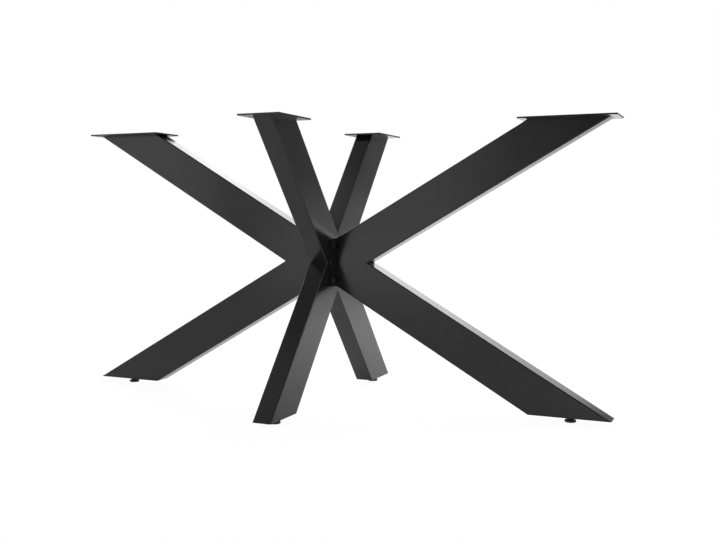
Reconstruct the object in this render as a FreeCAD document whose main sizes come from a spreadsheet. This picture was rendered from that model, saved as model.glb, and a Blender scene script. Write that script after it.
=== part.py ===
"""Table base of welded rectangular tube: one X frame across, two half frames bolted to its
sides, four top plates for the table top and four levelling feet.

X runs along the table, Y across it with the front at -Y, Z upwards. The origin is on the
floor under the middle of the centre joint. All lengths are in millimetres.
"""
import FreeCAD, Part
import Sketcher
import os
from math import cos, radians, sin
from FreeCAD import Placement, Rotation, Vector

SIZES = [
    ("overall_height", 735, "floor to the top of the top plates"),
    ("tube_depth", 100, "broad side of the tube"),
    ("tube_width", 50, "narrow side of the tube"),
    ("tube_wall", 2, "wall of the tube"),
    ("tube_radius", 3, "outer corner radius of the tube"),
    ("long_angle", 30, "slope of the half frames' arms, degrees from the floor"),
    ("short_angle", 50, "slope of the X frame's tubes, degrees from the floor"),
    ("notch_reach", 122, "centre plane to the notch between two arms"),
    ("plate_thickness", 4, "top plate"),
    ("plate_end_lip", 18, "top plate beyond the tube's cut, lengthwise"),
    ("plate_side_lip", 31, "top plate beyond the tube, sideways"),
    ("plate_corner", 3, "corner radius of the plates"),
    ("screw_hole", 8.5, "hole for a table top screw"),
    ("screw_edge", 15, "hole centre to the side edge of a top plate"),
    ("screw_inset", 36, "hole centre to the end edge of a top plate"),
    ("ground_gap", 13, "floor to the underside of the closing plates"),
    ("closing_thickness", 3, "closing plate under a tube"),
    ("flange_thickness", 6, "centre flange"),
    ("flange_depth", 110, "centre flange across the table"),
    ("bolt_size", 8, "thread of the centre bolts"),
    ("bolt_hole", 9, "hole in the flange"),
    ("bolt_spread_y", 80, "centre bolts, spacing across"),
    ("bolt_length", 20, "centre bolt below its head"),
    ("bolt_head", 14, "button head diameter"),
    ("bolt_head_height", 4.4, "button head height"),
    ("bolt_head_rim", 1.4, "straight rim of the button head"),
    ("bolt_crown", 8, "flat crown of the button head, diameter"),
    ("socket_size", 5, "hexagon socket across flats"),
    ("socket_depth", 2.6, "hexagon socket depth"),
    ("sleeve_diameter", 14, "threaded sleeve through the X frame"),
    ("sleeve_offset", 9.2, "centre of a sleeve to the side of the through tube"),
    ("thread_clearance", 0.05, "between a thread and its hole, on the radius"),
    ("foot_diameter", 28, "foot pad"),
    ("foot_rim", 6, "height of the pad's rim"),
    ("foot_edge", 1, "bevel of the pad's edges"),
    ("hub_diameter", 18, "hub on the pad"),
    ("hub_top", 10, "floor to the top of the hub"),
    ("hub_draw", 2, "narrowing of the hub towards its top, on the diameter"),
    ("stem_size", 8, "thread of the foot's stem"),
    ("stem_top", 42, "floor to the top of the stem"),
    ("stem_chamfer", 1, "chamfer on the stem's end"),
    ("stem_head", 13, "head of the stem inside the pad"),
    ("stem_head_low", 2.5, "floor to the underside of the stem's head"),
    ("stem_head_height", 3, "head of the stem inside the pad"),
    ("bush_diameter", 14, "threaded bush in the closing plate"),
    ("bush_length", 20, "threaded bush"),
]

TOP_Z = "(sizes.overall_height - sizes.plate_thickness)"
MID_Z = f"(({TOP_Z} + sizes.ground_gap) / 2)"
CLOSING_TOP_Z = "(sizes.ground_gap + sizes.closing_thickness)"
RISE = f"({TOP_Z} - {MID_Z})"
FLANGE_FACE_X = "(sizes.tube_width / 2 + sizes.flange_thickness)"
LONG_CUT = "(sizes.tube_depth / sin(sizes.long_angle))"
SHORT_CUT = "(sizes.tube_depth / sin(sizes.short_angle))"
LONG_AXIS_X = f"(sizes.notch_reach - {LONG_CUT} / 2)"
LONG_END_X = f"({LONG_AXIS_X} + {RISE} / tan(sizes.long_angle))"
SHORT_END_Y = f"({RISE} / tan(sizes.short_angle))"
LONG_HALF_HEIGHT = (
    f"(sizes.tube_depth / cos(sizes.long_angle)"
    f" - (sizes.notch_reach - {FLANGE_FACE_X}) * tan(sizes.long_angle))"
)
BOLT_Y = "(sizes.bolt_spread_y / 2)"
BOLT_Z = (
    f"({MID_Z} + (sizes.tube_depth / 2 + sizes.sleeve_offset"
    f" - {BOLT_Y} * sin(sizes.short_angle)) / cos(sizes.short_angle))"
)
TUBE_STOCK = "(2 * sizes.overall_height)"
X_AXIS, Y_AXIS, Z_AXIS = Vector(1, 0, 0), Vector(0, 1, 0), Vector(0, 0, 1)

# How a sketch numbers the points of a line or arc, and its own two axes.
START, END, CENTRE = range(1, 4)
HORIZONTAL_AXIS, VERTICAL_AXIS = range(-1, -3, -1)
ORIGIN_POINT = (HORIZONTAL_AXIS, START)

doc = FreeCAD.newDocument("x_table_base")
sheet = doc.addObject("Spreadsheet::Sheet", "sizes")
for row, (alias, value, note) in enumerate(SIZES, start=1):
    sheet.set(f"A{row}", alias)
    sheet.set(f"B{row}", str(value))
    sheet.setAlias(f"B{row}", alias)
    sheet.set(f"C{row}", note)
doc.recompute()

nodes = []


def bind(obj, **formulas):
    """Tie properties of an object to formulas; a double underscore stands for a dot."""
    for path, formula in formulas.items():
        obj.setExpression(path.replace("__", "."), formula)
    return obj


def number(formula):
    """The present value of a formula, for geometry that a sketch starts from."""
    return float(sheet.evalExpression(formula))


def node(obj, label):
    """Mark an object as one of the finished pieces."""
    obj.Label = label
    nodes.append(obj)
    return obj


def place(obj, x="0", y="0", z="0", axis=Z_AXIS, turn=None):
    """Put an object at a point given by formulas, turned about an axis by a formula in degrees."""
    obj.Placement = Placement(Vector(0, 0, 0), Rotation(axis, number(turn) if turn else 0))
    if turn:
        obj.setExpression("Placement.Rotation.Angle", f"({turn}) * 1 deg")
    for name, formula in (("x", x), ("y", y), ("z", z)):
        obj.setExpression(f"Placement.Base.{name}", formula)
    return obj


def dimension(sketch, constraint, formula):
    """Add one driving constraint and tie it to a formula."""
    index = sketch.addConstraint(constraint)
    sketch.setExpression(f"Constraints[{index}]", formula)


def body_plane(body, role):
    """One of the three origin planes of a body."""
    return next(f for f in body.Origin.OriginFeatures if f.Role == role)


def body_sketch(body, name, role="XY_Plane"):
    """A new sketch on an origin plane of its body."""
    sketch = body.newObject("Sketcher::SketchObject", name)
    sketch.AttachmentSupport = [(body_plane(body, role), "")]
    sketch.MapMode = "FlatFace"
    return sketch


def draw_rounded_rectangle(sketch, size_x, size_y, radius):
    """A rectangle with round corners, centred on the sketch's origin."""
    a, b, r = number(size_x) / 2, number(size_y) / 2, number(radius)
    sides = [
        Part.LineSegment(Vector(-a + r, b, 0), Vector(a - r, b, 0)),
        Part.LineSegment(Vector(a, b - r, 0), Vector(a, -b + r, 0)),
        Part.LineSegment(Vector(a - r, -b, 0), Vector(-a + r, -b, 0)),
        Part.LineSegment(Vector(-a, -b + r, 0), Vector(-a, b - r, 0)),
    ]
    top, right, bottom, left = (sketch.addGeometry(side) for side in sides)
    diagonal = r * 2 ** -0.5
    corners = []
    for sx, sy in ((1, 1), (1, -1), (-1, -1), (-1, 1)):
        centre = Vector(sx * (a - r), sy * (b - r), 0)
        ends = [centre + Vector(sx * r, 0, 0), centre + Vector(0, sy * r, 0)]
        if sx * sy < 0:
            ends.reverse()
        middle = centre + Vector(sx * diagonal, sy * diagonal, 0)
        corners.append(sketch.addGeometry(Part.Arc(ends[0], middle, ends[1])))
    joints = [
        (top, END, corners[0], END), (right, START, corners[0], START),
        (right, END, corners[1], END), (bottom, START, corners[1], START),
        (bottom, END, corners[2], END), (left, START, corners[2], START),
        (left, END, corners[3], END), (top, START, corners[3], START),
    ]
    for joint in joints:
        sketch.addConstraint(Sketcher.Constraint("Tangent", *joint))
    for side in (top, bottom):
        sketch.addConstraint(Sketcher.Constraint("Horizontal", side))
    for side in (right, left):
        sketch.addConstraint(Sketcher.Constraint("Vertical", side))
    for corner in corners[1:]:
        sketch.addConstraint(Sketcher.Constraint("Equal", corners[0], corner))
    sketch.addConstraint(
        Sketcher.Constraint("Symmetric", corners[0], CENTRE, corners[2], CENTRE, *ORIGIN_POINT)
    )
    dimension(sketch, Sketcher.Constraint("Radius", corners[0], r), radius)
    dimension(sketch, Sketcher.Constraint("DistanceX", left, START, right, START, 2 * a), size_x)
    dimension(sketch, Sketcher.Constraint("DistanceY", bottom, START, top, START, 2 * b), size_y)


def draw_four_holes(sketch, spread_x, spread_y, diameter):
    """Four equal circles at the corners of a rectangle centred on the sketch's origin."""
    x, y, r = number(spread_x) / 2, number(spread_y) / 2, number(diameter) / 2
    holes = [
        sketch.addGeometry(Part.Circle(Vector(sx * x, sy * y, 0), Z_AXIS, r))
        for sx, sy in ((1, 1), (-1, 1), (-1, -1), (1, -1))
    ]
    mirrors = [(0, 1, VERTICAL_AXIS), (1, 2, HORIZONTAL_AXIS), (0, 3, HORIZONTAL_AXIS)]
    for first, second, line in mirrors:
        sketch.addConstraint(
            Sketcher.Constraint("Symmetric", holes[first], CENTRE, holes[second], CENTRE, line)
        )
    for hole in holes[1:]:
        sketch.addConstraint(Sketcher.Constraint("Equal", holes[0], hole))
    dimension(sketch, Sketcher.Constraint("Diameter", holes[0], 2 * r), diameter)
    for kind, value, spread in (("DistanceX", x, spread_x), ("DistanceY", y, spread_y)):
        constraint = Sketcher.Constraint(kind, *ORIGIN_POINT, holes[0], CENTRE, value)
        dimension(sketch, constraint, f"{spread} / 2")


def draw_outline(sketch, corners):
    """A closed outline through corners given as pairs of formulas; "0" puts one on an axis."""
    points = [Vector(number(x), number(y), 0) for x, y in corners]
    count = len(points)
    lines = [
        sketch.addGeometry(Part.LineSegment(points[i], points[(i + 1) % count]))
        for i in range(count)
    ]
    for i in range(count):
        following = lines[(i + 1) % count]
        sketch.addConstraint(Sketcher.Constraint("Coincident", lines[i], END, following, START))
    for line, point, (x, y) in zip(lines, points, corners):
        for kind, formula, value, axis in (
            ("DistanceX", x, point.x, VERTICAL_AXIS),
            ("DistanceY", y, point.y, HORIZONTAL_AXIS),
        ):
            if formula == "0":
                sketch.addConstraint(Sketcher.Constraint("PointOnObject", line, START, axis))
            else:
                constraint = Sketcher.Constraint(kind, *ORIGIN_POINT, line, START, value)
                dimension(sketch, constraint, formula)


def turned_body(name, profile):
    """A turned piece: a half profile of (radius, height) formulas revolved about Z."""
    body = doc.addObject("PartDesign::Body", name)
    sketch = body_sketch(body, f"{name}_profile", "XZ_Plane")
    draw_outline(sketch, profile)
    turned = body.newObject("PartDesign::Revolution", f"{name}_turned")
    turned.Profile = sketch
    turned.ReferenceAxis = (sketch, ["V_Axis"])
    turned.Angle = 360
    doc.recompute()
    return body


def tube_section(name, size_x, size_y, hollow):
    """Cross section of the tube, or only its outline, drawn square to the tube."""
    sketch = doc.addObject("Sketcher::SketchObject", name)
    draw_rounded_rectangle(sketch, size_x, size_y, "sizes.tube_radius")
    if hollow:
        draw_rounded_rectangle(
            sketch,
            f"{size_x} - 2 * sizes.tube_wall",
            f"{size_y} - 2 * sizes.tube_wall",
            "sizes.tube_radius - sizes.tube_wall",
        )
    return sketch


def stock(name, section, back="sizes.tube_depth", **where):
    """A bar of the section from the point given along the turned Z, and some way back."""
    bar = doc.addObject("Part::Extrusion", name)
    bar.Base = section
    bar.DirMode = "Custom"
    bar.Dir = Z_AXIS
    bar.Solid = True
    bind(bar, LengthFwd=TUBE_STOCK, LengthRev=back)
    return place(bar, **where)


def block(name, low, size):
    """A box from its lowest corner and its size, both as three formulas."""
    box = doc.addObject("Part::Box", name)
    bind(box, Length=size[0], Width=size[1], Height=size[2])
    return place(box, *low)


def combine(kind, name, base, tool):
    """Part::Common or Part::Cut of two objects."""
    result = doc.addObject(kind, name)
    result.Base = base
    result.Tool = tool
    return result


def mirrored(name, source, normal, z="0"):
    """Mirror image of a piece in a plane through the Z axis, or in a level plane at z."""
    image = doc.addObject("Part::Mirroring", name)
    image.Source = source
    image.Normal = normal
    return bind(image, Base__z=z)


def grouped(name, *pieces):
    """Several separate solids as one object."""
    group = doc.addObject("Part::Compound", name)
    group.Links = list(pieces)
    return group


long_section = tube_section("long_section", "sizes.tube_depth", "sizes.tube_width", True)
long_outline = tube_section("long_outline", "sizes.tube_depth", "sizes.tube_width", False)
short_section = tube_section("short_section", "sizes.tube_width", "sizes.tube_depth", True)
short_outline = tube_section("short_outline", "sizes.tube_width", "sizes.tube_depth", False)
doc.recompute()

UP, DOWN = "90 - sizes.long_angle", "90 + sizes.long_angle"
FORWARD_UP, BACK_UP = "90 - sizes.short_angle", "sizes.short_angle - 90"
FORWARD_DOWN = "90 + sizes.short_angle"
WIDE = "(2 * sizes.tube_width)"
LONG_ROOM = f"({LONG_END_X} + {LONG_CUT})"
SHORT_ROOM = f"({SHORT_END_Y} + {SHORT_CUT})"


def long_arm(name, turn, low_z, height):
    """Arm of the right half frame: sawn level at both ends and upright at the flange."""
    bar = stock(f"{name}_stock", long_section, x=LONG_AXIS_X, z=MID_Z, axis=Y_AXIS, turn=turn)
    saw = block(
        f"{name}_cuts", (FLANGE_FACE_X, "-sizes.tube_width", low_z), (LONG_ROOM, WIDE, height)
    )
    return combine("Part::Common", name, bar, saw)


def short_room(name, low_z, height):
    """The space between two level saw cuts across the whole X frame."""
    return block(
        name, ("-sizes.tube_width", f"-{SHORT_ROOM}", low_z), (WIDE, f"2 * {SHORT_ROOM}", height)
    )


def cylinder(name, diameter, height, **where):
    """A round bar from its lower end."""
    bar = doc.addObject("Part::Cylinder", name)
    bind(bar, Radius=f"{diameter} / 2", Height=height)
    return place(bar, **where)


# Half frames: the upper and the lower arm meet in a level mitre at mid height.
upper_arm = node(long_arm("right_upper", UP, MID_Z, RISE), "right_upper_arm")
lower_arm = node(
    long_arm("right_lower", DOWN, CLOSING_TOP_Z, f"{MID_Z} - {CLOSING_TOP_Z}"), "right_lower_arm"
)
node(mirrored("left_upper", upper_arm, X_AXIS), "left_upper_arm")
node(mirrored("left_lower", lower_arm, X_AXIS), "left_lower_arm")

# Sleeves pass through the X frame where the centre bolts are, and are welded in both walls.
AT_BOLT = {"y": BOLT_Y, "z": BOLT_Z, "axis": Y_AXIS, "turn": "90"}
sleeve_bar = cylinder(
    "sleeve_bar", "sizes.sleeve_diameter", "sizes.tube_width", x="-sizes.tube_width / 2", **AT_BOLT
)
sleeve_thread = cylinder(
    "sleeve_thread", "(sizes.bolt_size + 2 * sizes.thread_clearance)", WIDE,
    x="-sizes.tube_width", **AT_BOLT,
)
sleeve_drill = cylinder(
    "sleeve_drill", "sizes.sleeve_diameter", WIDE, x="-sizes.tube_width", **AT_BOLT
)
sleeve = combine("Part::Cut", "sleeve", sleeve_bar, sleeve_thread)


def four_fold(name, piece):
    """A piece beside the centre joint, repeated at its four bolt positions."""
    pair = grouped(f"{name}_pair", piece, mirrored(f"{name}_other", piece, Y_AXIS))
    return grouped(name, pair, mirrored(f"{name}_lower", pair, Z_AXIS, MID_Z))


node(four_fold("sleeves", sleeve), "centre_sleeves")
sleeve_drills = four_fold("sleeve_drills", sleeve_drill)

# X frame: one tube runs through, the other is in two halves that butt against it.
main_bar = stock("main_stock", short_section, TUBE_STOCK, z=MID_Z, axis=X_AXIS, turn=FORWARD_UP)
main_room = short_room("main_cuts", CLOSING_TOP_Z, f"{TOP_Z} - {CLOSING_TOP_Z}")
main_sawn = combine("Part::Common", "main_sawn", main_bar, main_room)
main_tube = combine("Part::Cut", "main_tube", main_sawn, sleeve_drills)
node(main_tube, "x_frame_through_tube")

butt_profile = doc.addObject("Sketcher::SketchObject", "butt_profile")
draw_rounded_rectangle(butt_profile, WIDE, "sizes.tube_depth", "sizes.tube_radius")
butt_face = stock("butt_face", butt_profile, TUBE_STOCK, z=MID_Z, axis=X_AXIS, turn=FORWARD_UP)


def half_tube(name, turn, low_z, height):
    """Half of the X frame's second tube, from the through tube to its level cut."""
    bar = stock(f"{name}_stock", short_section, "0", z=MID_Z, axis=X_AXIS, turn=turn)
    sawn = combine("Part::Common", f"{name}_sawn", bar, short_room(f"{name}_cuts", low_z, height))
    butted = combine("Part::Cut", f"{name}_butted", sawn, butt_face)
    return combine("Part::Cut", name, butted, sleeve_drills)


sawn_room = (CLOSING_TOP_Z, f"{TOP_Z} - {CLOSING_TOP_Z}")
node(half_tube("upper_half", BACK_UP, *sawn_room), "x_frame_upper_half_tube")
node(half_tube("lower_half", FORWARD_DOWN, *sawn_room), "x_frame_lower_half_tube")


# Flat plates, cut from sheet with their holes.
def flat_plate(name, role, size_x, size_y, thickness, holes):
    """A plate with round corners and four holes (spread_x, spread_y, diameter)."""
    body = doc.addObject("PartDesign::Body", name)
    sketch = body_sketch(body, f"{name}_outline", role)
    draw_rounded_rectangle(sketch, size_x, size_y, "sizes.plate_corner")
    draw_four_holes(sketch, *holes)
    pad = body.newObject("PartDesign::Pad", f"{name}_pad")
    pad.Profile = sketch
    bind(pad, Length=thickness)
    return body


def top_plate(name, cut, along_x, x="0", y="0"):
    """Plate on the level cut of a tube, with a screw hole near each corner."""
    length = f"({cut} + 2 * sizes.plate_end_lip)"
    width = "(sizes.tube_width + 2 * sizes.plate_side_lip)"
    spread = (f"({length} - 2 * sizes.screw_inset)", f"({width} - 2 * sizes.screw_edge)")
    size = (length, width)
    if not along_x:
        size, spread = size[::-1], spread[::-1]
    holes = (*spread, "sizes.screw_hole")
    plate = flat_plate(name, "XY_Plane", *size, "sizes.plate_thickness", holes)
    return place(plate, x, y, TOP_Z)


right_top = node(top_plate("right_top", LONG_CUT, True, x=LONG_END_X), "right_top_plate")
front_top = node(top_plate("front_top", SHORT_CUT, False, y=f"-{SHORT_END_Y}"), "front_top_plate")
node(mirrored("left_top", right_top, X_AXIS), "left_top_plate")
node(mirrored("back_top", front_top, Y_AXIS), "back_top_plate")

flange = flat_plate(
    "right_flange_plate", "YZ_Plane", "sizes.flange_depth", f"(2 * {LONG_HALF_HEIGHT})",
    "sizes.flange_thickness", (f"(2 * {BOLT_Y})", f"(2 * ({BOLT_Z} - {MID_Z}))", "sizes.bolt_hole"),
)
node(place(flange, "sizes.tube_width / 2", "0", MID_Z), "right_flange")
node(mirrored("left_flange_plate", flange, X_AXIS), "left_flange")


# Closing plates continue the tubes' outline down to their underside, round a threaded bush.
def closing_plate(name, bar, slab, **where):
    """Slice of a solid bar of the tube's outline, with the hole for the bush."""
    sliced = combine("Part::Common", f"{name}_slice", bar, slab)
    hole = cylinder(
        f"{name}_hole", "sizes.bush_diameter", "sizes.bush_length", z="sizes.ground_gap", **where
    )
    return combine("Part::Cut", name, sliced, hole)


long_slab = block(
    "long_slab", ("0", "-sizes.tube_width", "sizes.ground_gap"),
    (LONG_ROOM, WIDE, "sizes.closing_thickness"),
)
short_slab = short_room("short_slab", "sizes.ground_gap", "sizes.closing_thickness")
long_bar = stock("long_bar", long_outline, x=LONG_AXIS_X, z=MID_Z, axis=Y_AXIS, turn=DOWN)
short_bar = stock("short_bar", short_outline, z=MID_Z, axis=X_AXIS, turn=FORWARD_DOWN)
right_closing = closing_plate("right_closing", long_bar, long_slab, x=LONG_END_X)
front_closing = closing_plate("front_closing", short_bar, short_slab, y=f"-{SHORT_END_Y}")
node(right_closing, "right_closing_plate")
node(front_closing, "front_closing_plate")
node(mirrored("left_closing", right_closing, X_AXIS), "left_closing_plate")
node(mirrored("back_closing", front_closing, Y_AXIS), "back_closing_plate")


# Levelling feet: a pad moulded on the head of a stem that screws into the bush.
STEM_R = "(sizes.stem_size / 2)"
BUSH_BORE_R = f"({STEM_R} + sizes.thread_clearance)"
HEAD_R = "(sizes.stem_head / 2)"
HEAD_TOP = "(sizes.stem_head_low + sizes.stem_head_height)"
HUB_R = "(sizes.hub_diameter / 2)"
HUB_TOP_R = "((sizes.hub_diameter - sizes.hub_draw) / 2)"
PAD_R = "(sizes.foot_diameter / 2)"
BUSH_R = "(sizes.bush_diameter / 2)"

STEM_PROFILE = [
    ("0", "sizes.stem_head_low"), (HEAD_R, "sizes.stem_head_low"), (HEAD_R, HEAD_TOP),
    (STEM_R, HEAD_TOP), (STEM_R, "sizes.stem_top - sizes.stem_chamfer"),
    (f"{STEM_R} - sizes.stem_chamfer", "sizes.stem_top"), ("0", "sizes.stem_top"),
]
PAD_EDGE_R = f"({PAD_R} - sizes.foot_edge)"
PAD_PROFILE = [
    ("0", "0"), (PAD_EDGE_R, "0"), (PAD_R, "sizes.foot_edge"),
    (PAD_R, "sizes.foot_rim - sizes.foot_edge"), (PAD_EDGE_R, "sizes.foot_rim"),
    (HUB_R, "sizes.foot_rim"),
    (HUB_TOP_R, "sizes.hub_top"), (STEM_R, "sizes.hub_top"), (STEM_R, HEAD_TOP),
    (HEAD_R, HEAD_TOP), (HEAD_R, "sizes.stem_head_low"), ("0", "sizes.stem_head_low"),
]
BUSH_PROFILE = [
    (BUSH_BORE_R, "0"), (BUSH_R, "0"), (BUSH_R, "sizes.bush_length"),
    (BUSH_BORE_R, "sizes.bush_length"),
]

for side, opposite, mirror_axis, where in (
    ("right", "left", X_AXIS, {"x": LONG_END_X}),
    ("front", "back", Y_AXIS, {"y": f"-{SHORT_END_Y}"}),
):
    for label, profile, base_z in (
        ("foot_stem", STEM_PROFILE, "0"),
        ("foot_pad", PAD_PROFILE, "0"),
        ("foot_bush", BUSH_PROFILE, "sizes.ground_gap"),
    ):
        piece = place(turned_body(f"{side}_{label}_turned", profile), z=base_z, **where)
        node(piece, f"{side}_{label}")
        node(mirrored(f"{opposite}_{label}_image", piece, mirror_axis), f"{opposite}_{label}")


# Centre bolts: button heads with a hexagon socket, one behind each hole of a flange.
def draw_hexagon(sketch, across_flats):
    """A regular hexagon centred on the sketch's origin, one corner on the horizontal axis."""
    radius = number(across_flats) / 2 / cos(radians(30))
    corners = [
        Vector(radius * cos(radians(60 * i)), radius * sin(radians(60 * i)), 0) for i in range(6)
    ]
    circle = sketch.addGeometry(Part.Circle(Vector(0, 0, 0), Z_AXIS, radius), True)
    sides = [
        sketch.addGeometry(Part.LineSegment(corners[i], corners[(i + 1) % 6])) for i in range(6)
    ]
    sketch.addConstraint(Sketcher.Constraint("Coincident", circle, CENTRE, *ORIGIN_POINT))
    for i, side in enumerate(sides):
        following = sides[(i + 1) % 6]
        sketch.addConstraint(Sketcher.Constraint("Coincident", side, END, following, START))
        sketch.addConstraint(Sketcher.Constraint("PointOnObject", side, START, circle))
    for side in sides[1:]:
        sketch.addConstraint(Sketcher.Constraint("Equal", sides[0], side))
    sketch.addConstraint(
        Sketcher.Constraint("PointOnObject", sides[0], START, HORIZONTAL_AXIS)
    )
    dimension(
        sketch, Sketcher.Constraint("Diameter", circle, 2 * radius), f"{across_flats} / cos(30)"
    )


BOLT_R = "(sizes.bolt_size / 2)"
BOLT_HEAD_R = "(sizes.bolt_head / 2)"
BOLT_TOP = "(sizes.bolt_length + sizes.bolt_head_height)"
bolt = turned_body(
    "centre_bolt",
    [
        ("0", "0"), (BOLT_R, "0"), (BOLT_R, "sizes.bolt_length"),
        (BOLT_HEAD_R, "sizes.bolt_length"),
        (BOLT_HEAD_R, "sizes.bolt_length + sizes.bolt_head_rim"),
        ("sizes.bolt_crown / 2", BOLT_TOP), ("0", BOLT_TOP),
    ],
)
socket_sketch = body_sketch(bolt, "socket_hexagon")
bind(socket_sketch, AttachmentOffset__Base__z=BOLT_TOP)
draw_hexagon(socket_sketch, "sizes.socket_size")
socket = bolt.newObject("PartDesign::Pocket", "bolt_socket")
socket.Profile = socket_sketch
bind(socket, Length="sizes.socket_depth")
place(bolt, x=f"{FLANGE_FACE_X} - sizes.bolt_length", **AT_BOLT)
right_bolts = node(four_fold("right_bolts", bolt), "right_flange_bolts")
node(mirrored("left_bolts", right_bolts, X_AXIS), "left_flange_bolts")

doc.recompute()
failed = [o.Name for o in doc.Objects if {"Invalid", "Error"} & set(o.State)]
if failed:
    raise RuntimeError(f"these objects did not rebuild: {failed}")
os.makedirs("parts", exist_ok=True)
for piece in nodes:
    if piece.Shape.isNull() or not piece.Shape.isValid() or not piece.Shape.Solids:
        raise RuntimeError(f"{piece.Label} has no valid solid")
    piece.Shape.exportStep(f"parts/{piece.Label}.step")
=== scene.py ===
"""Visual model of a welded table base: an X frame, two half frames bolted to its sides, four
top plates and four levelling feet, in a plain white studio.

X runs along the table, Y across it with the front at -Y, Z upwards. Lengths are in metres and
angles in degrees.
"""
import logging
import math
from collections.abc import Callable, Iterator, Sequence
from contextlib import contextmanager
from dataclasses import dataclass, field
from enum import Enum

import bmesh
import bpy
from mathutils import Euler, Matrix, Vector


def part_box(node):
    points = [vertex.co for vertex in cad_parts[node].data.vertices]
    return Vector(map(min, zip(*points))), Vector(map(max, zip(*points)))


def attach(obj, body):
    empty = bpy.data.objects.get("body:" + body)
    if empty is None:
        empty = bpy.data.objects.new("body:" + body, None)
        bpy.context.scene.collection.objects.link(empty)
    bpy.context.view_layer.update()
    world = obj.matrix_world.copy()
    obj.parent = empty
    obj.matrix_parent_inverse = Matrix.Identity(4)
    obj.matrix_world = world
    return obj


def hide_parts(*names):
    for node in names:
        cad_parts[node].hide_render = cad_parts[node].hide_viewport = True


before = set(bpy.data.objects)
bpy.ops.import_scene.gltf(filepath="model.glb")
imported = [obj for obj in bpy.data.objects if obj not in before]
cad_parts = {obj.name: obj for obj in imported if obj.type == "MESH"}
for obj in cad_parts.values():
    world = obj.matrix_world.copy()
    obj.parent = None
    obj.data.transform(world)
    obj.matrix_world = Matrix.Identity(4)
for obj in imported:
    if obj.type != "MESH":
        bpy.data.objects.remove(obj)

log = logging.getLogger("table_base")

WHITE = (1.0, 1.0, 1.0, 1.0)

# How many straight runs stand for a whole turn, and for the quarter round of a corner.
ROUND_SIDES = 64
SMALL_ROUND_SIDES = 48
CORNER_STEPS = 5

# Edges of turned pieces that are sharper than this stay crisp.
TURNED_CREASE = 35

# A line runs along a direction where the cosine between them is over this, and a point is on a
# plane where it is nearer to it than this.
ALONG = 0.9
ON_PLANE = 1e-6

# The middle of the values that a noise texture gives.
NOISE_MIDDLE = 0.5

Triple = tuple[float, float, float]
Pair = tuple[float, float]


class Side(Enum):
    """The four corners of the base, with the axis that each lies on and its direction."""

    RIGHT = ("right", 0, 1)
    LEFT = ("left", 0, -1)
    FRONT = ("front", 1, -1)
    BACK = ("back", 1, 1)

    def __init__(self, word: str, axis: int, sign: int) -> None:
        """Name the parts of a side's value.

        Args:
            word: The word that its nodes and bodies start with.
            axis: 0 where it lies along X, 1 where it lies along Y.
            sign: Its direction on that axis.
        """
        self.word = word
        self.axis = axis
        self.sign = sign

    @property
    def lengthwise(self) -> bool:
        """True for the two sides that lie along the table."""
        return self.axis == 0


class Slot(Enum):
    """The finishes that the record names."""

    POWDER_COAT = "powder_coat"
    BLACK_STEEL = "black_steel"
    ZINC_STEEL = "zinc_steel"
    FOOT_PLASTIC = "foot_plastic"


class Lift(Enum):
    """Whether an arm runs up to the table top or down to the floor."""

    UPPER = "upper"
    LOWER = "lower"


class Axis(Enum):
    """The directions that a plate is drilled along."""

    X = (1, 0, 0)
    Z = (0, 0, 1)


class Element(Enum):
    """What is selected in edit mode."""

    FACE = "FACE"
    EDGE = "EDGE"


@dataclass(frozen=True)
class SawCut:
    """A flat cut through a bar: a point of the plane, and the direction of the waste."""

    point: Vector
    waste: Vector

    def holds(self, place: Vector) -> bool:
        """True for a place on the plane of the cut."""
        return abs((place - self.point).dot(self.waste)) < ON_PLANE


def level_cuts(low: Vector, high: Vector) -> list[SawCut]:
    """The level cuts at the top and the bottom of a box, from its two corners."""
    up = Vector((0, 0, 1))
    return [SawCut(up * high.z, up), SawCut(up * low.z, -up)]


def pick(*objects: bpy.types.Object) -> None:
    """Select objects and nothing else.

    Args:
        objects: The objects, the active one first.
    """
    bpy.ops.object.select_all(action="DESELECT")
    for obj in objects:
        obj.select_set(True)
    bpy.context.view_layer.objects.active = objects[0]


@contextmanager
def editing(obj: bpy.types.Object) -> Iterator[None]:
    """Edit mode on one object alone, and object mode again afterwards.

    Args:
        obj: The mesh object to edit.
    """
    pick(obj)
    bpy.ops.object.mode_set(mode="EDIT")
    bpy.ops.mesh.select_mode(type="VERT")
    yield
    bpy.ops.object.mode_set(mode="OBJECT")


def choose(obj: bpy.types.Object, kind: Element, test: Callable[..., bool]) -> None:
    """Select the faces or edges for which a test holds, and nothing else.

    Args:
        obj: The object in edit mode.
        kind: Faces or edges.
        test: Called with each face or edge.
    """
    bpy.ops.mesh.select_all(action="DESELECT")
    bpy.ops.mesh.select_mode(type=kind.value)
    mesh = bmesh.from_edit_mesh(obj.data)
    for element in mesh.faces if kind is Element.FACE else mesh.edges:
        element.select_set(test(element))
    mesh.select_flush_mode()
    bmesh.update_edit_mesh(obj.data)


def runs_along(line: Vector, way: Vector) -> bool:
    """True for a line that runs one way or straight against it."""
    return abs(line.normalized().dot(way)) > ALONG


def round_edges(obj: bpy.types.Object, way: Vector, radius: float) -> None:
    """Round the edges that run one way.

    Args:
        obj: The object in edit mode.
        way: The direction of the edges.
        radius: Radius of the rounds.
    """
    choose(obj, Element.EDGE, lambda edge: runs_along(edge.verts[0].co - edge.verts[1].co, way))
    bpy.ops.mesh.bevel(offset=radius, segments=CORNER_STEPS, profile=0.5, affect="EDGES")


def face_outwards() -> None:
    """Turn every face of the mesh in edit mode outwards."""
    bpy.ops.mesh.select_all(action="SELECT")
    bpy.ops.mesh.normals_make_consistent(inside=False)


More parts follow.
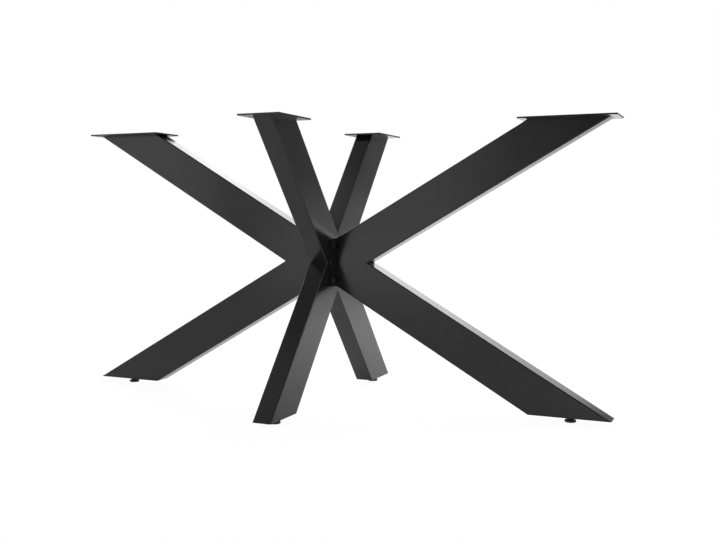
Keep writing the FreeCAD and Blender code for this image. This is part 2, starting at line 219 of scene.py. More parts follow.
def settle(name: str) -> bpy.types.Object:
    """Name the active object, and move its place, turn and scale into its mesh.

    Args:
        name: The piece's name.

    Returns:
        The object, now at the origin.
    """
    obj = bpy.context.active_object
    obj.name = obj.data.name = name
    bpy.ops.object.transform_apply(location=True, rotation=True, scale=True)
    return obj


def primitive(name: str, add: Callable[..., object], **settings: object) -> bpy.types.Object:
    """Start a piece from one of Blender's primitives.

    Args:
        name: The piece's name.
        add: The operator that adds the primitive.
        settings: The operator's settings, by name.

    Returns:
        The new object, with its place in its mesh.
    """
    bpy.ops.object.select_all(action="DESELECT")
    add(**settings)
    return settle(name)


def modify(obj: bpy.types.Object, kind: str, **settings: object) -> None:
    """Add one modifier and apply it.

    Args:
        obj: The object to change.
        kind: The modifier's type.
        settings: Its settings, by name.
    """
    pick(obj)
    bpy.ops.object.modifier_add(type=kind)
    modifier = obj.modifiers[-1]
    for name, value in settings.items():
        setattr(modifier, name, value)
    bpy.ops.object.modifier_apply(modifier=modifier.name)


def subtract(obj: bpy.types.Object, tool: bpy.types.Object) -> None:
    """Cut a tool's shape out of a piece, and remove the tool."""
    modify(obj, "BOOLEAN", operation="DIFFERENCE", object=tool, solver="EXACT")
    bpy.data.objects.remove(tool)


def smooth(obj: bpy.types.Object, crease: float) -> None:
    """Shade the rounded corners smooth and keep the flat faces flat.

    Args:
        obj: The object to shade.
        crease: Edges sharper than this stay crisp.
    """
    pick(obj)
    bpy.ops.object.shade_smooth_by_angle(angle=math.radians(crease))
    modify(obj, "WEIGHTED_NORMAL", keep_sharp=True, weight=100)


def turned(name: str, profile: Sequence[Pair], sides: int = ROUND_SIDES) -> bpy.types.Object:
    """A piece turned about Z, by extruding and scaling a disc from point to point.

    Args:
        name: The piece's name.
        profile: Radius and height of each point, from the middle of the underside.
        sides: Sides of the disc.

    Returns:
        The new object, closed at both ends.
    """
    radius, height = profile[0]
    obj = primitive(
        name, bpy.ops.mesh.primitive_circle_add,
        vertices=sides, radius=radius, fill_type="NGON", location=(0, 0, height),
    )
    with editing(obj):
        bpy.ops.mesh.select_all(action="SELECT")
        for next_radius, next_height in profile[1:]:
            bpy.ops.mesh.extrude_region_move(
                TRANSFORM_OT_translate={"value": (0, 0, next_height - height)}
            )
            ratio = next_radius / radius
            bpy.ops.transform.resize(
                value=(ratio, ratio, 1), center_override=(0, 0, next_height)
            )
            radius, height = next_radius, next_height
        face_outwards()
    return obj


def rounded(
    centre: Pair, radius: float, start: float, end: float, steps: int = CORNER_STEPS
) -> list[Pair]:
    """Points of a profile along a round.

    Args:
        centre: Radius and height of the round's own centre.
        radius: Radius of the round.
        start: First angle, from outwards towards upwards.
        end: Last angle.
        steps: How many straight runs stand for the round.

    Returns:
        The points, first and last included.
    """
    angles = (math.radians(start + (end - start) * i / steps) for i in range(steps + 1))
    return [(centre[0] + radius * math.cos(a), centre[1] + radius * math.sin(a)) for a in angles]


class Signal:
    """A varying value in a material, on which Python's operators make Math nodes."""

    def __init__(self, board: "Board", socket: bpy.types.NodeSocket) -> None:
        """Wrap an output socket of the board's node tree."""
        self.board = board
        self.socket = socket

    def _math(self, operation: str, *values: "Signal | float") -> "Signal":
        """One Math node on the values, in order."""
        settings = {"operation": operation}
        return self.board.signal("ShaderNodeMath", settings, dict(enumerate(values)), "Value")

    def __add__(self, other: "Signal | float") -> "Signal":
        """Sum."""
        return self._math("ADD", self, other)

    __radd__ = __add__

    def __mul__(self, other: "Signal | float") -> "Signal":
        """Product."""
        return self._math("MULTIPLY", self, other)

    __rmul__ = __mul__

    def __sub__(self, other: "Signal | float") -> "Signal":
        """Difference."""
        return self._math("SUBTRACT", self, other)

    def __rsub__(self, other: "Signal | float") -> "Signal":
        """Difference, the other way round."""
        return self._math("SUBTRACT", other, self)

    def between(self, low: float, high: float) -> "Signal":
        """A smooth step from 0 at low to 1 at high.

        Args:
            low: Where the step starts.
            high: Where it ends.

        Returns:
            The stepped value.
        """
        return self.board.signal(
            "ShaderNodeMapRange",
            {"interpolation_type": "SMOOTHSTEP", "clamp": True},
            {"Value": self, "From Min": low, "From Max": high},
            "Result",
        )


class Board:
    """The nodes of one material or world."""

    def __init__(self, owner: bpy.types.Material | bpy.types.World) -> None:
        """Start with an empty node tree.

        Args:
            owner: The material or world whose nodes these are.
        """
        owner.use_nodes = True
        self.tree = owner.node_tree
        self.tree.nodes.clear()

    def node(
        self, kind: str, settings: dict[str, object], inputs: dict[str | int, object]
    ) -> bpy.types.Node:
        """Make one node.

        Args:
            kind: The node's type.
            settings: Its own settings, which are set first.
            inputs: Values, Signals or sockets for its sockets, by name or number.

        Returns:
            The new node.
        """
        node = self.tree.nodes.new(kind)
        for name, value in settings.items():
            setattr(node, name, value)
        for key, value in inputs.items():
            source = value.socket if isinstance(value, Signal) else value
            if isinstance(source, bpy.types.NodeSocket):
                self.tree.links.new(source, node.inputs[key])
            else:
                node.inputs[key].default_value = source
        return node

    def signal(
        self, kind: str, settings: dict[str, object], inputs: dict[str | int, object], out: str
    ) -> Signal:
        """A node made as above, and one of its outputs by name."""
        return Signal(self, self.node(kind, settings, inputs).outputs[out])

    def place(self) -> Signal:
        """The place on the piece, in the piece's own coordinates."""
        return self.signal("ShaderNodeTexCoord", {}, {}, "Object")

    def noise(self, scale: float, detail: float) -> Signal:
        """Noise over the piece, with so many waves to a metre."""
        inputs = {"Vector": self.place(), "Scale": scale, "Detail": detail}
        return self.signal("ShaderNodeTexNoise", {}, inputs, "Fac")

    def blend(self, factor: Signal, low: Triple, high: Triple) -> Signal:
        """A colour between two, by a factor."""
        colours = {"Factor": factor, "A": (*low, 1.0), "B": (*high, 1.0)}
        return self.signal("ShaderNodeMix", {"data_type": "RGBA"}, colours, "Result")

    def surface(
        self, relief: Signal, strength: float, depth: float, inputs: dict[str, object]
    ) -> None:
        """Finish a material with a Principled surface that a relief makes uneven.

        Args:
            relief: Height of the relief, where 1 is its full depth.
            strength: How strongly the relief shows, up to 1.
            depth: Depth of the relief.
            inputs: The other sockets of the surface.
        """
        bump = self.node(
            "ShaderNodeBump", {}, {"Height": relief, "Strength": strength, "Distance": depth}
        )
        shader = self.node(
            "ShaderNodeBsdfPrincipled", {}, {**inputs, "Normal": bump.outputs["Normal"]}
        )
        self.node("ShaderNodeOutputMaterial", {}, {"Surface": shader.outputs[0]})


@dataclass(frozen=True)
class CoatFinish:
    """Black powder coat: satin, with a fine orange peel and faint cloudiness.

    The two tones are the coat's colour where it is thin and where it is thick.
    """

    name: str = "black_powder_coat"
    thin: Triple = (0.0106, 0.0106, 0.0108)
    thick: Triple = (0.0140, 0.0140, 0.0142)
    satin: float = 0.19
    refraction: float = 1.5
    cloud_scale: float = 9.0
    cloud_edges: Pair = (0.35, 0.65)
    cloud_share: float = 0.05
    peel_size: float = 0.0016
    peel_depth: float = 0.000015
    grit_size: float = 0.00035
    grit_share: float = 0.25

    def material(self) -> bpy.types.Material:
        """Make the material.

        Returns:
            The coat that the frame is dressed in.
        """
        material = bpy.data.materials.new(self.name)
        board = Board(material)
        cloud = board.noise(self.cloud_scale, detail=3.0)
        peel = board.noise(1 / self.peel_size, detail=1.0)
        grit = board.noise(1 / self.grit_size, detail=0.0)
        colours = {
            "Base Color": board.blend(cloud.between(*self.cloud_edges), self.thin, self.thick),
            "Roughness": self.satin + self.cloud_share * (cloud - NOISE_MIDDLE),
            "IOR": self.refraction,
        }
        board.surface(peel + self.grit_share * grit, 1.0, self.peel_depth, colours)
        return material


@dataclass(frozen=True)
class MetalFinish:
    """Plated or oxidised steel of the fasteners, with a fine turned grain and faint stains."""

    name: str
    dull: Triple
    bright: Triple
    metallic: float
    roughness: float
    grain_size: float = 0.0006
    grain_strength: float = 0.6
    grain_depth: float = 0.00001
    stain_scale: float = 120.0
    stain_edges: Pair = (0.3, 0.7)
    stain_share: float = 0.12

    def material(self) -> bpy.types.Material:
        """Make the material.

        Returns:
            The metal that fasteners are dressed in.
        """
        material = bpy.data.materials.new(self.name)
        board = Board(material)
        grain = board.noise(1 / self.grain_size, detail=2.0)
        stain = board.noise(self.stain_scale, detail=3.0)
        colours = {
            "Base Color": board.blend(stain.between(*self.stain_edges), self.dull, self.bright),
            "Metallic": self.metallic,
            "Roughness": self.roughness + self.stain_share * (stain - NOISE_MIDDLE),
        }
        board.surface(grain, self.grain_strength, self.grain_depth, colours)
        return material


@dataclass(frozen=True)
class PlasticFinish:
    """Moulded dark grey plastic of the foot pads, finely eroded and rubbed here and there."""

    name: str = "dark_foot_plastic"
    deep: Triple = (0.055, 0.055, 0.056)
    rubbed: Triple = (0.085, 0.085, 0.086)
    roughness: float = 0.22
    grain_size: float = 0.0005
    grain_strength: float = 0.5
    grain_depth: float = 0.00002
    rub_scale: float = 90.0
    rub_edges: Pair = (0.35, 0.7)
    rub_share: float = 0.08

    def material(self) -> bpy.types.Material:
        """Make the material.

        Returns:
            The plastic that the foot pads are dressed in.
        """
        material = bpy.data.materials.new(self.name)
        board = Board(material)
        grain = board.noise(1 / self.grain_size, detail=1.0)
        rub = board.noise(self.rub_scale, detail=2.0)
        colours = {
            "Base Color": board.blend(rub.between(*self.rub_edges), self.deep, self.rubbed),
            "Roughness": self.roughness + self.rub_share * (rub - NOISE_MIDDLE),
        }
        board.surface(grain, self.grain_strength, self.grain_depth, colours)
        return material


Finishes = dict[Slot, bpy.types.Material]


def make_finishes() -> Finishes:
    """Make each finish of the base once.

    Returns:
        The material of each slot.
    """
    blackened = MetalFinish(
        "blackened_steel", dull=(0.016, 0.016, 0.017), bright=(0.034, 0.034, 0.036),
        metallic=0.6, roughness=0.42,
    )
    plated = MetalFinish(
        "zinc_plated_steel", dull=(0.42, 0.42, 0.43), bright=(0.58, 0.58, 0.60),
        metallic=1.0, roughness=0.32,
    )
    return {
        Slot.POWDER_COAT: CoatFinish().material(),
        Slot.BLACK_STEEL: blackened.material(),
        Slot.ZINC_STEEL: plated.material(),
        Slot.FOOT_PLASTIC: PlasticFinish().material(),
    }


def finish_piece(
    obj: bpy.types.Object, body: str, slot: Slot, finishes: Finishes, *nodes: str
) -> None:
    """Dress a piece, put it on its body and let it stand for its nodes.

    Args:
        obj: The finished mesh object.
        body: The body that carries it.
        slot: The record's slot.
        finishes: The material of each slot.
        nodes: The CAD nodes that it stands for.
    """
    obj.data.materials.clear()
    obj.data.materials.append(finishes[slot])
    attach(obj, body)
    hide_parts(*nodes)
    log.info("%s: %d faces on %s", obj.name, len(obj.data.polygons), body)


@dataclass(frozen=True)
class TubeStock:
    """Rectangular steel tube, sawn to shape from a bar that is longer than any piece."""

    depth: float = 0.100
    width: float = 0.050
    wall: float = 0.002
    corner: float = 0.003
    bar_length: float = 3.0
    crease: float = 40

    def level_cut(self, slope: float) -> float:
        """Length of a level cut through the tube's depth, for a slope."""
        return self.depth / math.sin(math.radians(slope))

    def saw(
        self, name: str, through: Vector, slope: float, lengthwise: bool, cuts: Sequence[SawCut]
    ) -> bpy.types.Object:
        """A length of hollow tube between saw cuts.

        Args:
            name: The piece's name.
            through: A point on the tube's axis.
            slope: Angle from +X or +Y up to the axis, over 90 where it rises the other way.
            lengthwise: True for a tube in the plane of X and Z, False for Y and Z.
            cuts: The planes that end it.

        Returns:
            The finished tube.
        """
        lean = math.radians(90 - slope)
        turn = Euler((0, lean, 0)) if lengthwise else Euler((-lean, 0, 0))
        axis = turn.to_matrix() @ Vector((0, 0, 1))
        section = (self.depth, self.width) if lengthwise else (self.width, self.depth)
        tube = primitive(
            name, bpy.ops.mesh.primitive_cube_add,
            size=1, location=through, rotation=turn, scale=(*section, self.bar_length),
        )
        with editing(tube):
            choose(tube, Element.FACE, lambda face: runs_along(face.normal, axis))
            bpy.ops.mesh.delete(type="FACE")
            round_edges(tube, axis, self.corner)
        modify(tube, "SOLIDIFY", thickness=self.wall, offset=-1, use_even_offset=True)
        for cut in cuts:
            self._cut(tube, cut)
        smooth(tube, self.crease)
        return tube

    def _cut(self, tube: bpy.types.Object, cut: SawCut) -> None:
        """Saw the tube and close the cut between its outer and inner skin.

        Args:
            tube: The tube so far.
            cut: The plane to saw it at.
        """
        with editing(tube):
            bpy.ops.mesh.select_all(action="SELECT")
            bpy.ops.mesh.bisect(plane_co=cut.point, plane_no=cut.waste, clear_outer=True)
            choose(
                tube, Element.EDGE,
                lambda edge: edge.is_boundary and all(cut.holds(v.co) for v in edge.verts),
            )
            bpy.ops.mesh.fill()
            face_outwards()


@dataclass(frozen=True)
class PlateStock:
    """Steel plate, cut with rounded corners, drilled, and blasted until its edges are soft."""

    corner: float = 0.003
    drill_depth: float = 0.1
    soft_edge: float = 0.0004
    soft_edge_steps: int = 2
    edge_angle: float = 50
    crease: float = 30

    def cut(
        self, name: str, low: Vector, high: Vector, way: Axis, holes: Sequence[Vector],
        hole_radius: float,
    ) -> bpy.types.Object:
        """A finished plate.

        Args:
            name: The piece's name.
            low: Its lowest corner.
            high: Its highest corner.
            way: The direction through the plate.
            holes: The middle of each hole.
            hole_radius: Radius of the holes.

        Returns:
            The new object.
        """
        plate = primitive(
            name, bpy.ops.mesh.primitive_cube_add,
            size=1, location=(low + high) / 2, scale=high - low,
        )
        with editing(plate):
            round_edges(plate, Vector(way.value), self.corner)
        turn = (0, math.radians(90), 0) if way is Axis.X else (0, 0, 0)
        for hole in holes:
            drill = primitive(
                "drill_bit", bpy.ops.mesh.primitive_cylinder_add,
                vertices=SMALL_ROUND_SIDES, radius=hole_radius, depth=self.drill_depth,
                location=hole, rotation=turn,
            )
            subtract(plate, drill)
        modify(
            plate, "BEVEL", width=self.soft_edge, segments=self.soft_edge_steps,
            limit_method="ANGLE", angle_limit=math.radians(self.edge_angle),
        )
        smooth(plate, self.crease)
        return plate


@dataclass
class HalfFrame:
    """The two arms on one side of the X frame, mitred together where they meet."""

    side: Side
    finishes: Finishes
    stock: TubeStock = field(default_factory=TubeStock)
    slope: float = 30

    def build(self) -> None:
        """Make both arms."""
        for lift in Lift:
            self._arm(lift)

    def _arm(self, lift: Lift) -> None:
        """One arm, from the flange to its level cut at the table or the floor.

        Args:
            lift: Which of the two arms.
        """
        node = f"{self.side.word}_{lift.value}_arm"
        low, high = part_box(node)
        sign = self.side.sign
        end_x = max(abs(low.x), abs(high.x)) - self.stock.level_cut(self.slope) / 2
        end_z = high.z if lift is Lift.UPPER else low.z
        inner_x = min(abs(low.x), abs(high.x))
        rises_rightwards = (lift is Lift.UPPER) == (self.side is Side.RIGHT)
        flange_cut = SawCut(Vector((inner_x * sign, 0, 0)), Vector((-sign, 0, 0)))
        arm = self.stock.saw(
            f"{node}_tube",
            Vector((end_x * sign, 0, end_z)),
            self.slope if rises_rightwards else 180 - self.slope,
            True,
            [*level_cuts(low, high), flange_cut],
        )
        finish_piece(arm, "frame", Slot.POWDER_COAT, self.finishes, node)


@dataclass
class CrossFrame:
    """The X frame across the table: one tube runs through, two halves butt against it."""

    finishes: Finishes
    stock: TubeStock = field(default_factory=TubeStock)
    slope: float = 50

    def build(self) -> None:
        """Make the three tubes."""
        middle = Vector((0, 0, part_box("right_upper_arm")[0].z))
        steep = math.radians(self.slope)
        side = Vector((0, math.sin(steep), math.cos(steep)))
        low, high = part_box("x_frame_through_tube")
        level = level_cuts(low, high)
        half_cut = self.stock.level_cut(self.slope) / 2
        self._tube("x_frame_through_tube", low.y + half_cut, high.z, 180 - self.slope, level)
        for node, sign in (("x_frame_upper_half_tube", 1), ("x_frame_lower_half_tube", -1)):
            low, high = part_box(node)
            end_y = high.y - half_cut if sign > 0 else low.y + half_cut
            end_z = high.z if sign > 0 else low.z
            face = SawCut(middle + side * sign * self.stock.depth / 2, -side * sign)
            self._tube(node, end_y, end_z, self.slope, [*level, face])

    def _tube(
        self, node: str, end_y: float, end_z: float, slope: float, cuts: Sequence[SawCut]
    ) -> None:
        """One tube of the X.

        Args:
            node: The CAD node that it stands for.
            end_y: Where its axis ends, across the table.
            end_z: Where its axis ends, in height.
            slope: Angle from +Y up to its axis.
            cuts: The planes that end it.
        """
        through = Vector((0, end_y, end_z))
        tube = self.stock.saw(f"{node}_piece", through, slope, False, cuts)
        finish_piece(tube, "frame", Slot.POWDER_COAT, self.finishes, node)


@dataclass
class TopPlate:
    """Plate under the table top, with a screw hole near each corner."""

    side: Side
    finishes: Finishes
    stock: PlateStock = field(default_factory=PlateStock)
    hole_radius: float = 0.00425
    hole_from_side: float = 0.015
    hole_from_end: float = 0.036

    def build(self) -> None:
        """Make the plate."""
        node = f"{self.side.word}_top_plate"
        low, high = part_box(node)
        inset = [self.hole_from_end, self.hole_from_side]
        if not self.side.lengthwise:
            inset.reverse()
        holes = [
            Vector((x, y, high.z))
            for x in (low.x + inset[0], high.x - inset[0])
            for y in (low.y + inset[1], high.y - inset[1])
        ]
        plate = self.stock.cut(f"{node}_sheet", low, high, Axis.Z, holes, self.hole_radius)
        finish_piece(plate, "frame", Slot.POWDER_COAT, self.finishes, node)


@dataclass
class CentreJoint:
    """A half frame's flange and the four bolts that hold it to the X frame."""

    side: Side
    finishes: Finishes
    stock: PlateStock = field(default_factory=PlateStock)
    hole_radius: float = 0.0045
    shank_radius: float = 0.004
    shank_chamfer: float = 0.001
    head_radius: float = 0.007
    head_height: float = 0.0044
    head_chamfer: float = 0.0003
    head_rim: float = 0.0014
    crown_radius: float = 0.004
    crown_steps: int = 6
    key_sides: int = 6
    key_flats: float = 0.005
    key_depth: float = 0.0026

    def build(self) -> None:
        """Make the flange, then the bolts."""
        low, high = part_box(f"{self.side.word}_flange_bolts")
        reach = self.head_radius
        middles = [
            (y, z)
            for y in (low.y + reach, high.y - reach)
            for z in (low.z + reach, high.z - reach)
        ]
        self._flange(middles)
        self._bolts(middles, low, high)

    def _flange(self, middles: Sequence[Pair]) -> None:
        """The flange with a clearance hole for each bolt.

        Args:
            middles: Where the bolts are, along Y and Z.
        """
        node = f"{self.side.word}_flange"
        low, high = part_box(node)
        holes = [Vector(((low.x + high.x) / 2, y, z)) for y, z in middles]
        flange = self.stock.cut(f"{node}_plate", low, high, Axis.X, holes, self.hole_radius)
        finish_piece(flange, "frame", Slot.POWDER_COAT, self.finishes, node)

    def _bolts(self, middles: Sequence[Pair], low: Vector, high: Vector) -> None:
        """Button head bolts with a hexagon socket, one in each hole.

        Args:
            middles: Where the bolts are, along Y and Z.
            low: The lowest corner of the box round all four.
            high: Its highest corner.
        """
        node = f"{self.side.word}_flange_bolts"
        first = self._bolt(high.x - low.x)
        outer_x = high.x if self.side.sign > 0 else low.x
        copies = []
        for y, z in middles:
            copy = first.copy()
            copy.data = first.data.copy()
            bpy.context.collection.objects.link(copy)
            copy.rotation_euler = (0, math.radians(90 * self.side.sign), 0)
            copy.location = (outer_x, y, z)
            copies.append(copy)
        bpy.data.objects.remove(first)
        pick(*copies)
        bpy.ops.object.join()
        bolts = settle(f"{node}_set")
        finish_piece(bolts, "frame", Slot.BLACK_STEEL, self.finishes, node)

    def _bolt(self, length: float) -> bpy.types.Object:
        """One bolt with the top of its head at the origin, its shank along -Z.

        Args:
            length: Its whole length.

        Returns:
            The bolt, to be copied.
        """
        rim_top = self.head_rim - self.head_height
        quarter = (math.radians(90 * i / self.crown_steps) for i in range(self.crown_steps + 1))
        crown = [
            (
                self.head_radius + (self.crown_radius - self.head_radius) * math.sin(a) ** 2,
                rim_top * (1 - math.sin(a)),
            )
            for a in quarter
        ]
        bolt = turned(
            "centre_bolt",
            [
                (self.shank_radius - self.shank_chamfer, -length),
                (self.shank_radius, -length + self.shank_chamfer),
                (self.shank_radius, -self.head_height),
                (self.head_radius - self.head_chamfer, -self.head_height),
                (self.head_radius, -self.head_height + self.head_chamfer),
                *crown,
            ],
        )
        key = primitive(
            "hexagon_key", bpy.ops.mesh.primitive_cylinder_add, vertices=self.key_sides,
            radius=self.key_flats / 2 / math.cos(math.pi / self.key_sides),
            depth=2 * self.key_depth,
        )
        subtract(bolt, key)
        smooth(bolt, TURNED_CREASE)
        return bolt


@dataclass
class LevellingFoot:
    """A plastic pad on the head of a threaded stem that screws into the base."""

    side: Side
    finishes: Finishes
    pad_round: float = 0.0020
    pad_inset: float = 0.003
    rim_top: float = 0.006
    hub_radius: float = 0.009
    hub_top_radius: float = 0.008
    hub_round: float = 0.0006
    hub_round_steps: int = 3
    stem_radius: float = 0.004
    stem_head: float = 0.003
    stem_neck: float = 0.003
    stem_chamfer: float = 0.0005
    thread_depth: float = 0.0007
    thread_pitch: float = 0.00125
    thread_turns: int = 14
    thread_steps: int = 32
    thread_start: float = 0.0035
    ridge_radius_share: float = 0.9
    ridge_offset_share: float = 0.1

    def build(self) -> None:
        """Make the pad and the stem."""
        self._pad()
        self._stem()

    def _place(self, obj: bpy.types.Object, low: Vector, high: Vector) -> None:
        """Move a turned piece from the origin to its foot's own axis.

        Args:
            obj: The piece.
            low: The lowest corner of its CAD node.
            high: The highest corner.
        """
        pick(obj)
        obj.location = ((low.x + high.x) / 2, (low.y + high.y) / 2, 0)
        bpy.ops.object.transform_apply(location=True, rotation=False, scale=False)

    def _pad(self) -> None:
        """The pad: a rounded disc, a hub, and the seat of the stem's head inside."""
        node = f"{self.side.word}_foot_pad"
        low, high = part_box(node)
        stem_low, stem_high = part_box(f"{self.side.word}_foot_stem")
        head_radius = (stem_high.x - stem_low.x) / 2
        head_top = stem_low.z + self.stem_head
        inner = (high.x - low.x) / 2 - self.pad_round
        hub_corner = (self.hub_top_radius - self.hub_round, high.z - self.hub_round)
        pad = turned(
            f"{node}_moulding",
            [
                (inner - self.pad_inset, low.z),
                *rounded((inner, low.z + self.pad_round), self.pad_round, -90, 0),
                *rounded((inner, self.rim_top - self.pad_round), self.pad_round, 0, 90),
                (self.hub_radius + self.hub_round, self.rim_top),
                (self.hub_radius, self.rim_top + self.hub_round),
                *rounded(hub_corner, self.hub_round, 0, 90, self.hub_round_steps),
                (self.stem_radius, high.z),
                (self.stem_radius, head_top),
                (head_radius, head_top),
                (head_radius, stem_low.z),
            ],
        )
        smooth(pad, TURNED_CREASE)
        self._place(pad, low, high)
        finish_piece(pad, f"{self.side.word}_foot", Slot.FOOT_PLASTIC, self.finishes, node)

    def _stem(self) -> None:
        """The stem with its head, and its rolled thread."""
        node = f"{self.side.word}_foot_stem"
        low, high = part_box(node)
        head_radius = (high.x - low.x) / 2
        head_top = low.z + self.stem_head
        neck_top = head_top + self.stem_neck
        core = self.stem_radius - self.thread_depth
        stem = turned(
            f"{node}_screw",
            [
                (head_radius, low.z),
                (head_radius, head_top),
                (self.stem_radius, head_top),
                (self.stem_radius, neck_top),
                (core, neck_top + self.thread_depth),
                (core, high.z - self.stem_chamfer),
                (core - self.stem_chamfer, high.z),
            ],
            SMALL_ROUND_SIDES,
        )
        thread = self._thread(core, head_top + self.thread_start)
        pick(stem, thread)
        bpy.ops.object.join()
        smooth(stem, TURNED_CREASE)
        self._place(stem, low, high)
        finish_piece(stem, f"{self.side.word}_foot", Slot.ZINC_STEEL, self.finishes, node)

    def _thread(self, core: float, start: float) -> bpy.types.Object:
        """The thread: a three-sided ridge wound round the stem's core.

        Args:
            core: Radius of the core.
            start: Height at which the thread starts.

        Returns:
            The closed ridge.
        """
        thread = primitive(
            "thread_ridge", bpy.ops.mesh.primitive_circle_add,
            vertices=3, radius=self.thread_depth * self.ridge_radius_share, fill_type="NOTHING",
            location=(core + self.thread_depth * self.ridge_offset_share, 0, start),
            rotation=(math.radians(90), math.radians(90), 0),
        )
        modify(
            thread, "SCREW", axis="Z", angle=math.radians(360), screw_offset=self.thread_pitch,
            iterations=self.thread_turns, steps=self.thread_steps,
            render_steps=self.thread_steps, use_merge_vertices=False,
        )
        with editing(thread):
            bpy.ops.mesh.select_all(action="SELECT")
            bpy.ops.mesh.fill_holes(sides=3)
            face_outwards()
        return thread


def dress_kept_nodes(finishes: Finishes) -> None:
    """Dress the CAD nodes that stay as they are.

    Args:
        finishes: The material of each slot.
    """
    kept = {f"{side.word}_closing_plate": Slot.POWDER_COAT for side in Side}
    kept |= {f"{side.word}_foot_bush": Slot.ZINC_STEEL for side in Side}
    kept["centre_sleeves"] = Slot.POWDER_COAT
    for node, slot in kept.items():
        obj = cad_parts[node]
        obj.data.materials.clear()
        obj.data.materials.append(finishes[slot])
        log.info("%s: CAD node in %s", node, finishes[slot].name)


@dataclass
class Lamp:
    """A large soft lamp: where it stands, where it points, its size and its brightness."""

    name: str
    place: Triple
    aim: Triple
    size: Pair
    radiance: float

    def build(self) -> None:
        """Make the lamp, which the camera doesn't see."""
        light = bpy.data.lights.new(self.name, "AREA")
        light.shape = "RECTANGLE"
        light.size, light.size_y = self.size
        light.energy = self.radiance * math.pi * self.size[0] * self.size[1]
        obj = bpy.data.objects.new(self.name, light)
        obj.location = self.place
        beam = Vector(self.aim) - Vector(self.place)
        obj.rotation_euler = beam.to_track_quat("-Z", "Y").to_euler()
        obj.visible_camera = False
        bpy.context.scene.collection.objects.link(obj)


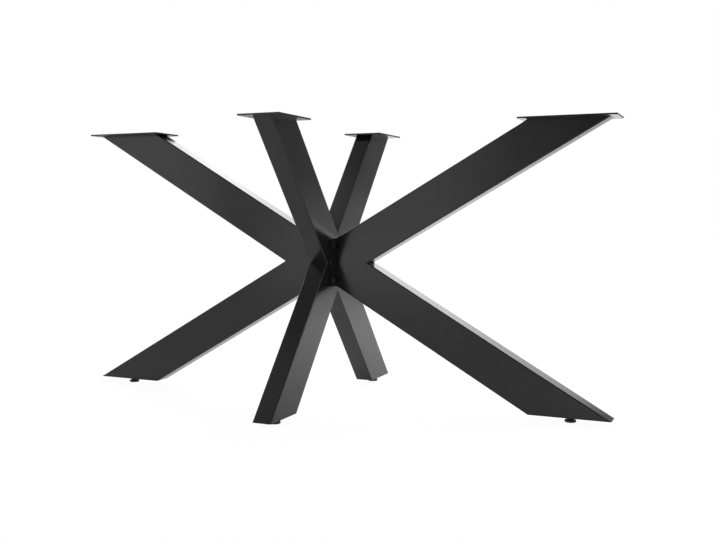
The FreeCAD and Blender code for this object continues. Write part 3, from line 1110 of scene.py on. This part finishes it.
@dataclass
class Studio:
    """Plain white floor and background, soft lamps and the camera."""

    camera_place: Triple = (1.05988, -2.20993, 0.50781)
    camera_turn: float = 23.816
    focal_pixels: float = 908.65
    horizon_row: float = 211.11
    picture: tuple[int, int] = (716, 540)
    sensor: float = 36.0
    floor_size: float = 30.0
    floor_colour: Triple = (0.86, 0.86, 0.86)
    mirrored_share: float = 0.35
    shadow_share: float = 0.10
    shadow_reach: Pair = (1.2, 2.2)
    glow_level: float = 1.06
    room_level: float = 0.21

    def build(self) -> None:
        """Make everything that isn't part of the base."""
        self._camera()
        self._world()
        self._floor()
        for lamp in self._lamps():
            lamp.build()
        bpy.context.scene.view_settings.view_transform = "Standard"

    def _camera(self) -> None:
        """A level camera; the horizon is above the middle, so its picture is shifted."""
        lens = bpy.data.cameras.new("studio_camera")
        width, height = self.picture
        lens.sensor_width = self.sensor
        lens.lens = self.focal_pixels / width * self.sensor
        lens.shift_y = (self.horizon_row - height / 2) / width
        camera = bpy.data.objects.new("studio_camera", lens)
        camera.location = self.camera_place
        camera.rotation_euler = (math.radians(90), 0, math.radians(self.camera_turn))
        bpy.context.scene.collection.objects.link(camera)
        bpy.context.scene.camera = camera

    def _world(self) -> None:
        """White to the camera, and an even, dimmer room to everything else."""
        world = bpy.data.worlds.new("studio_room")
        bpy.context.scene.world = world
        board = Board(world)
        seen = board.signal("ShaderNodeLightPath", {}, {}, "Is Camera Ray")
        room, white = (
            board.node("ShaderNodeBackground", {}, {"Color": WHITE, "Strength": level})
            for level in (self.room_level, 1.0)
        )
        mixed = board.node(
            "ShaderNodeMixShader", {}, {0: seen, 1: room.outputs[0], 2: white.outputs[0]}
        )
        board.node("ShaderNodeOutputWorld", {}, {"Surface": mixed.outputs[0]})

    def _floor(self) -> None:
        """A white floor that keeps a faint shadow of the base.

        The camera sees it glow, less so near the base, where the matt colour under the glow
        shows the shadow. Glossy reflections see part of the glow, and all other light sees
        the matt colour alone.
        """
        floor = primitive(
            "studio_floor", bpy.ops.mesh.primitive_plane_add,
            size=self.floor_size, location=(0, 0, 0),
        )
        material = bpy.data.materials.new("white_floor")
        board = Board(material)
        seen = board.signal("ShaderNodeLightPath", {}, {}, "Is Camera Ray")
        mirrored = board.signal("ShaderNodeLightPath", {}, {}, "Is Glossy Ray")
        away = board.signal(
            "ShaderNodeVectorMath", {"operation": "LENGTH"}, {0: board.place()}, "Value"
        )
        near = 1 - away.between(*self.shadow_reach)
        matt = board.node("ShaderNodeBsdfDiffuse", {}, {"Color": (*self.floor_colour, 1.0)})
        glow = board.node(
            "ShaderNodeEmission", {}, {"Color": WHITE, "Strength": self.glow_level}
        )
        share = seen * (1 - self.shadow_share * near) + mirrored * self.mirrored_share
        mixed = board.node(
            "ShaderNodeMixShader", {}, {0: share, 1: matt.outputs[0], 2: glow.outputs[0]}
        )
        board.node("ShaderNodeOutputMaterial", {}, {"Surface": mixed.outputs[0]})
        floor.data.materials.append(material)

    def _lamps(self) -> list[Lamp]:
        """The soft lamps round the base."""
        return [
            Lamp("back_high_light", (-0.6, 3.4, 1.95), (-0.6, 0, 1.95), (3.6, 1.2), 2.3),
            Lamp("back_low_light", (-0.2, 3.45, 0.82), (-0.2, 0, 0.82), (2.4, 1.2), 0.95),
            Lamp("back_right_low_light", (1.7, 3.45, 0.32), (1.7, 0, 0.32), (1.0, 0.6), 0.26),
            Lamp("floor_left_light", (-1.0, 2.0, 1.9), (-1.0, 2.0, 0), (1.4, 1.2), 2.1),
            Lamp("floor_right_light", (0.55, 1.55, 1.6), (0.55, 1.55, 0), (1.4, 1.5), 4.8),
            Lamp("left_light", (-2.7, 1.56, 2.2), (0, 0, 0.4), (2.0, 1.8), 3.0),
            Lamp("right_light", (3.1, 0.33, 2.2), (0, 0, 0.4), (2.0, 1.8), 2.4),
            Lamp("front_far_left_light", (-2.65, -2.39, 0.9), (0, 0, 0.4), (1.5, 1.3), 1.0),
            Lamp("front_left_light", (-1.25, -3.26, 0.8), (-0.1, 0, 0.8), (1.4, 1.6), 0.86),
            Lamp("front_middle_light", (-0.25, -3.26, 0.8), (0.1, 0, 0.8), (0.6, 1.4), 0.25),
            Lamp("top_left_light", (-1.6, -0.25, 3.4), (-0.2, 0, 0.4), (0.7, 0.5), 0.7),
            Lamp("top_front_left_light", (-2.4, -1.6, 3.4), (-0.7, -0.5, 0.4), (0.8, 0.8), 0.5),
        ]


def main() -> None:
    """Build the base and its studio."""
    logging.basicConfig(level=logging.INFO, format="%(name)s: %(message)s")
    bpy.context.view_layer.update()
    finishes = make_finishes()
    for side in (Side.RIGHT, Side.LEFT):
        HalfFrame(side, finishes).build()
        CentreJoint(side, finishes).build()
    CrossFrame(finishes).build()
    for side in Side:
        TopPlate(side, finishes).build()
        LevellingFoot(side, finishes).build()
    dress_kept_nodes(finishes)
    Studio().build()


if __name__ == "__main__":
    main()
